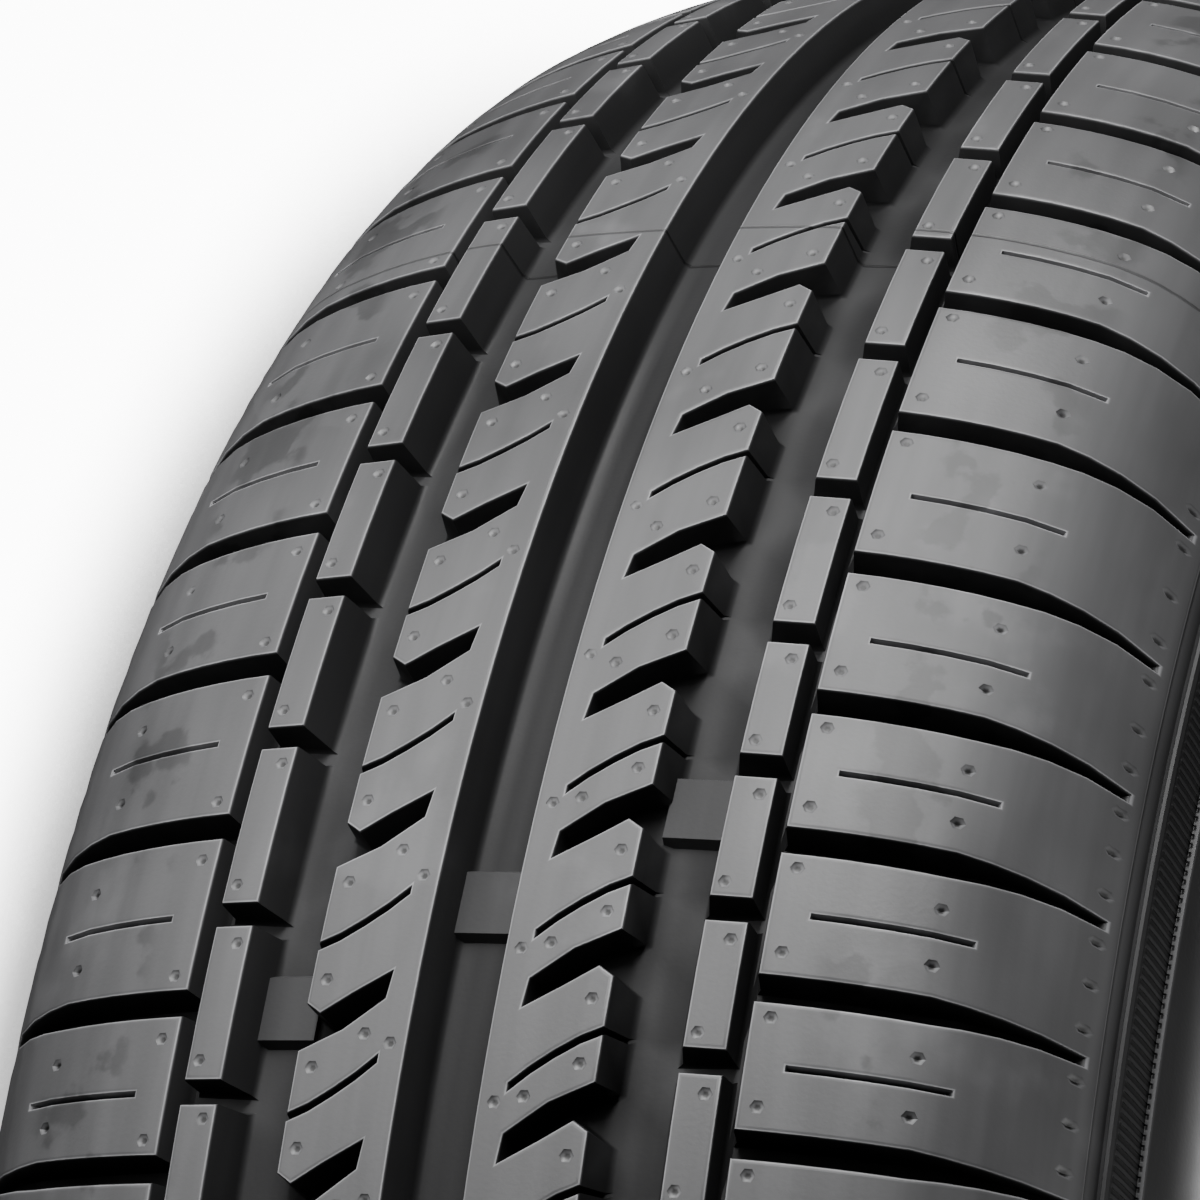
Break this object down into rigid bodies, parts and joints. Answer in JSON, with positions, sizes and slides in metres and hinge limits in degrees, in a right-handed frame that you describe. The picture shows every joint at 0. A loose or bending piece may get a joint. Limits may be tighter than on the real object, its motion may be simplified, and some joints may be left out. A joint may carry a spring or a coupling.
{
  "type": "car tyre",
  "caption": "Radial passenger-car tyre with circumferential grooves, slotted ribs and block shoulders, to be fitted to a drop-centre wheel rim.",
  "frame": {"origin": "wheel centre: on the wheel axis, at the middle plane of the tread", "axes": "+Z along the wheel axis, towards the sidewall that faces up when the tyre lies on its side"},
  "size_m": [0.6215, 0.6214, 0.1888],
  "materials": {
    "tread_rubber": "satin"
  },
  "bodies": {
    "root": {"tyre": "tread_rubber"}
  },
  "joints": []
}
